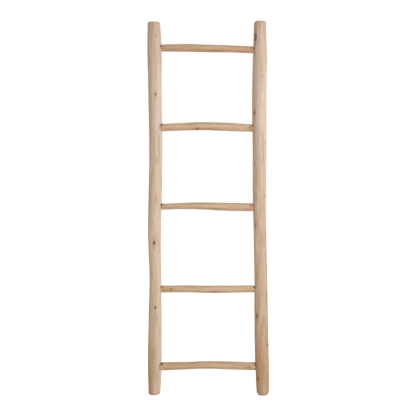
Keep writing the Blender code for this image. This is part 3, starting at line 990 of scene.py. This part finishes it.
RAIL_WOOD, RUNG_WOOD, PEG_WOOD = wood("peeled_pole", RAIL_LOOK), wood("golden_branch", RUNG_LOOK), wood("peg_hardwood", PEG_LOOK)


# --------------------------------------------------------------------- pieces

def finish_piece(ob, branch, material, node):
    ob.data.materials.clear()
    ob.data.materials.append(material)
    ob.data.shade_smooth()
    ob.data.set_sharp_from_angle(angle=0.62)
    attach(ob, "root")
    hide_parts(node)


for name, rail in rails.items():
    near = np.arange(0, 14.01, 0.7) * MM
    pitch = 2.2
    s = np.concatenate([near, np.arange(14 + pitch, rail.s1 / MM - 14 - pitch / 2, pitch) * MM, rail.s1 - near[::-1]])
    ob = add("pole_left" if rail.side < 0 else "pole_right",
             lofted(name + "_wood", surface(rail, s, 120, 13)))
    boolean(ob, [socket_mesh(joint, rail.seed + 70 + i) for i, joint in enumerate(rail.sockets)], "sockets")
    boolean(ob, [drill_mesh(joint) for joint in rail.sockets], "drills")
    fix_normals(ob)
    dress(rail, ob)
    lay_out(rail, ob, 0.56, 3, 0.168)
    finish_piece(ob, rail, RAIL_WOOD, name)

for name, rung in rungs.items():
    near = np.arange(0, 60.01, 0.9) * MM
    pitch = 1.6
    s = np.concatenate([rung.s0 + near, np.arange(rung.s0 / MM + 60 + pitch, rung.s1 / MM - 60 - pitch / 2, pitch) * MM,
                        rung.s1 - near[::-1]])
    ob = add(name + "_branch", lofted(name + "_wood", surface(rung, s, 80, 7)))
    boolean(ob, [drill_mesh(joint) for joint in rung.joints], "drills")
    fix_normals(ob)
    dress(rung, ob)
    lay_out(rung, ob, 0.232, 2, 0.100)
    finish_piece(ob, rung, RUNG_WOOD, name)


def make_peg(rung, joint):
    """A whittled peg through a joint, along Y, domed where it was knocked in."""
    label = "peg_%s_%s" % (rung.name[-1], "left" if joint["side"] < 0 else "right")
    seed = rung.seed + 90 + joint["side"]
    px = joint["x"] - joint["side"] * PEG_INSET
    back = joint["y"] + math.sqrt(joint["r"] ** 2 - PEG_INSET**2)
    far = joint["ty"] - rung.tenon - PEG_PAST_TENON
    top = back + PEG_PROUD
    k = 40
    phi = np.linspace(0, 2 * np.pi, k, endpoint=False)
    rings, depth, ends = [], [], []
    facets = 9
    turned = np.random.default_rng(seed).uniform(0, 1)
    flat = np.cos(np.pi / facets) / np.cos((phi + turned) % (2 * np.pi / facets) - np.pi / facets)
    body = PEG_RADIUS * (0.985 * flat + 0.015)

    def ring_at(y, scale, lift=0.0, end=0.0):
        a = body * scale
        rough = 0.05 * MM * noise(np.cos(phi) * 2, np.sin(phi) * 2, y * 200, seed)
        yy = np.full(k, y) + lift + end * 0.10 * MM * noise(a * np.cos(phi) * 900, a * np.sin(phi) * 900, 1.0, seed + 1)
        rings.append(np.stack([px + (a + rough) * np.cos(phi), yy, joint["tz"] + (a + rough) * np.sin(phi)], -1))
        depth.append(PEG_RADIUS - a)
        ends.append(np.full(k, end))

    for f in (0.12, 0.35, 0.6):
        ring_at(far, f, end=1.0)
    for y, f in ((far, 0.80), (far + 1 * MM, 0.93), (far + 3 * MM, 1.0)):
        ring_at(y, f)
    for t in np.linspace(0.1, 0.93, 18):
        ring_at(far + (top - far) * t, 1.0)
    for up, f in ((1.6, 1.0), (1.0, 0.995), (0.55, 0.97), (0.25, 0.92), (0.08, 0.84)):
        ring_at(top - up * MM, f)
    for up, f in ((0.02, 0.70), (0.0, 0.5), (-0.05, 0.3), (-0.06, 0.12)):
        ring_at(top - up * MM - 0.1 * MM, f, end=1.0)
    ob = add(label + "_wood", lofted(label, rings[::-1]))
    fix_normals(ob)
    me = ob.data
    co = np.empty(len(me.vertices) * 3, np.float32)
    me.vertices.foreach_get("co", co)
    co = co.reshape(-1, 3).astype(float)
    a, b = co[:, 0] - px, co[:, 2] - joint["tz"]
    n = len(co)
    end = step(0.9 * MM, 0.15 * MM, top - co[:, 1])
    set_attribute(me, "grain", "FLOAT_VECTOR", np.stack([a + 0.003, b + 0.002, co[:, 1]], -1))
    set_attribute(me, "figure", "FLOAT_VECTOR", np.stack([np.zeros(n), 0.6 * end, end], -1))
    set_attribute(me, "knot", "FLOAT_VECTOR", np.stack([np.full(n, 9.0), np.zeros(n), np.zeros(n)], -1))
    set_attribute(me, "tone", "FLOAT_VECTOR", np.stack([np.full(n, 0.5), np.full(n, 0.3), np.full(n, 1.0)], -1))
    # the second value of trait: painted shade on the peg where it lies inside the pole
    set_attribute(me, "trait", "FLOAT_VECTOR", np.stack([np.zeros(n), step(-1 * MM, -6 * MM, co[:, 1] - back), np.zeros(n)], -1))
    finish_piece(ob, None, PEG_WOOD, label)


for rung in rungs.values():
    for joint in rung.joints:
        make_peg(rung, joint)

# ---------------------------------------------------------- floor, light, view

def plain(name, colour, roughness, glow):
    """A matt studio surface with the faintest unevenness."""
    w = Nodes(name)
    place = w.node("ShaderNodeTexCoord").outputs["Object"]
    soft = w.noise(w.scale(place, 3, 3, 3), 2, 0.5)
    shader = w.node("ShaderNodeBsdfPrincipled")
    w.put(shader.inputs["Base Color"], w.mix(w.mul(soft, 0.04), colour, (0.80, 0.80, 0.80, 1.0)))
    shader.inputs["Roughness"].default_value = roughness
    shader.inputs["Specular IOR Level"].default_value = 0.1
    shader.inputs["Emission Color"].default_value = (0.98, 1.0, 1.08, 1.0)
    shader.inputs["Emission Strength"].default_value = glow
    out = w.node("ShaderNodeOutputMaterial")
    w.put(out.inputs["Surface"], shader.outputs[0])
    return w.material


bm = bmesh.new()
bmesh.ops.create_circle(bm, cap_ends=True, segments=96, radius=9.0)
me = bpy.data.meshes.new("studio_floor")
bm.to_mesh(me)
bm.free()
floor = add("studio_floor", me)
floor.location = (0, 0, -0.0004)
me.materials.append(plain("studio_white", (0.92, 0.92, 0.92, 1.0), 0.9, 0.54))
floor.visible_diffuse = False       # it would light the ladder from below
floor.visible_glossy = False


def area_light(name, place, aim, width, height, power, colour=(1.0, 1.0, 1.0)):
    data = bpy.data.lights.new(name, "AREA")
    data.shape, data.size, data.size_y = "RECTANGLE", width, height
    data.energy, data.color = power, colour
    ob = bpy.data.objects.new(name, data)
    bpy.context.scene.collection.objects.link(ob)
    ob.location = place
    ob.rotation_euler = (Vector(aim) - Vector(place)).to_track_quat("-Z", "Y").to_euler()
    return ob


def round_at(azimuth, elevation, distance, z):
    """A place round the ladder: azimuth 0 is in front, positive to the right."""
    a, e = math.radians(azimuth), math.radians(elevation)
    return (distance * math.cos(e) * math.sin(a), -distance * math.cos(e) * math.cos(a), z + distance * math.sin(e))


area_light("key", round_at(44, 8, 4.0, 0.75), (0, 0, 0.75), 1.6, 2.6, 48.0, (0.81, 1.0, 1.26))
area_light("fill", round_at(-18, 5, 3.3, 0.70), (0, 0, 0.70), 1.2, 1.2, 3.5, (1.0, 0.97, 0.94))

world = bpy.data.worlds.new("studio")
bpy.context.scene.world = world
world.use_nodes = True
tree = world.node_tree
tree.nodes.clear()
path = tree.nodes.new("ShaderNodeLightPath")
way, axes = tree.nodes.new("ShaderNodeTexCoord"), tree.nodes.new("ShaderNodeSeparateXYZ")
span, tint = tree.nodes.new("ShaderNodeMapRange"), tree.nodes.new("ShaderNodeMix")
tint.data_type = "RGBA"
tree.links.new(way.outputs["Generated"], axes.inputs[0])
tree.links.new(axes.outputs[0], span.inputs["Value"])
span.inputs["From Min"].default_value, span.inputs["From Max"].default_value = -1.0, 1.0
tree.links.new(span.outputs[0], tint.inputs[0])
tint.inputs[6].default_value = (0.45, 0.36, 0.265, 1.0)      # the room to the left
tint.inputs[7].default_value = (0.89, 0.82, 0.72, 1.0)      # the room to the right
seen, lit = tree.nodes.new("ShaderNodeBackground"), tree.nodes.new("ShaderNodeBackground")
seen.inputs["Color"].default_value, seen.inputs["Strength"].default_value = (1, 1, 1, 1), 1.0
tree.links.new(tint.outputs[2], lit.inputs["Color"])
choose, result = tree.nodes.new("ShaderNodeMixShader"), tree.nodes.new("ShaderNodeOutputWorld")
tree.links.new(path.outputs["Is Camera Ray"], choose.inputs[0])
tree.links.new(lit.outputs[0], choose.inputs[1])
tree.links.new(seen.outputs[0], choose.inputs[2])
tree.links.new(choose.outputs[0], result.inputs["Surface"])

bpy.context.scene.view_settings.view_transform = "Standard"
bpy.context.scene.view_settings.look = "None"
bpy.context.scene.view_settings.exposure = 0.0
bpy.context.scene.view_settings.gamma = 1.0

lens = bpy.data.cameras.new("camera")
lens.lens, lens.sensor_width = 94.886, 36.0
lens.clip_start, lens.clip_end = 0.05, 60.0
camera = bpy.data.objects.new("camera", lens)
bpy.context.scene.collection.objects.link(camera)
camera.location = (-0.0022, -4.38928, 1.06465)
camera.rotation_euler = (Vector((-0.0022, 0.0, 0.757725)) - camera.location).to_track_quat("-Z", "Y").to_euler()
bpy.context.scene.camera = camera

bpy.context.view_layer.update()
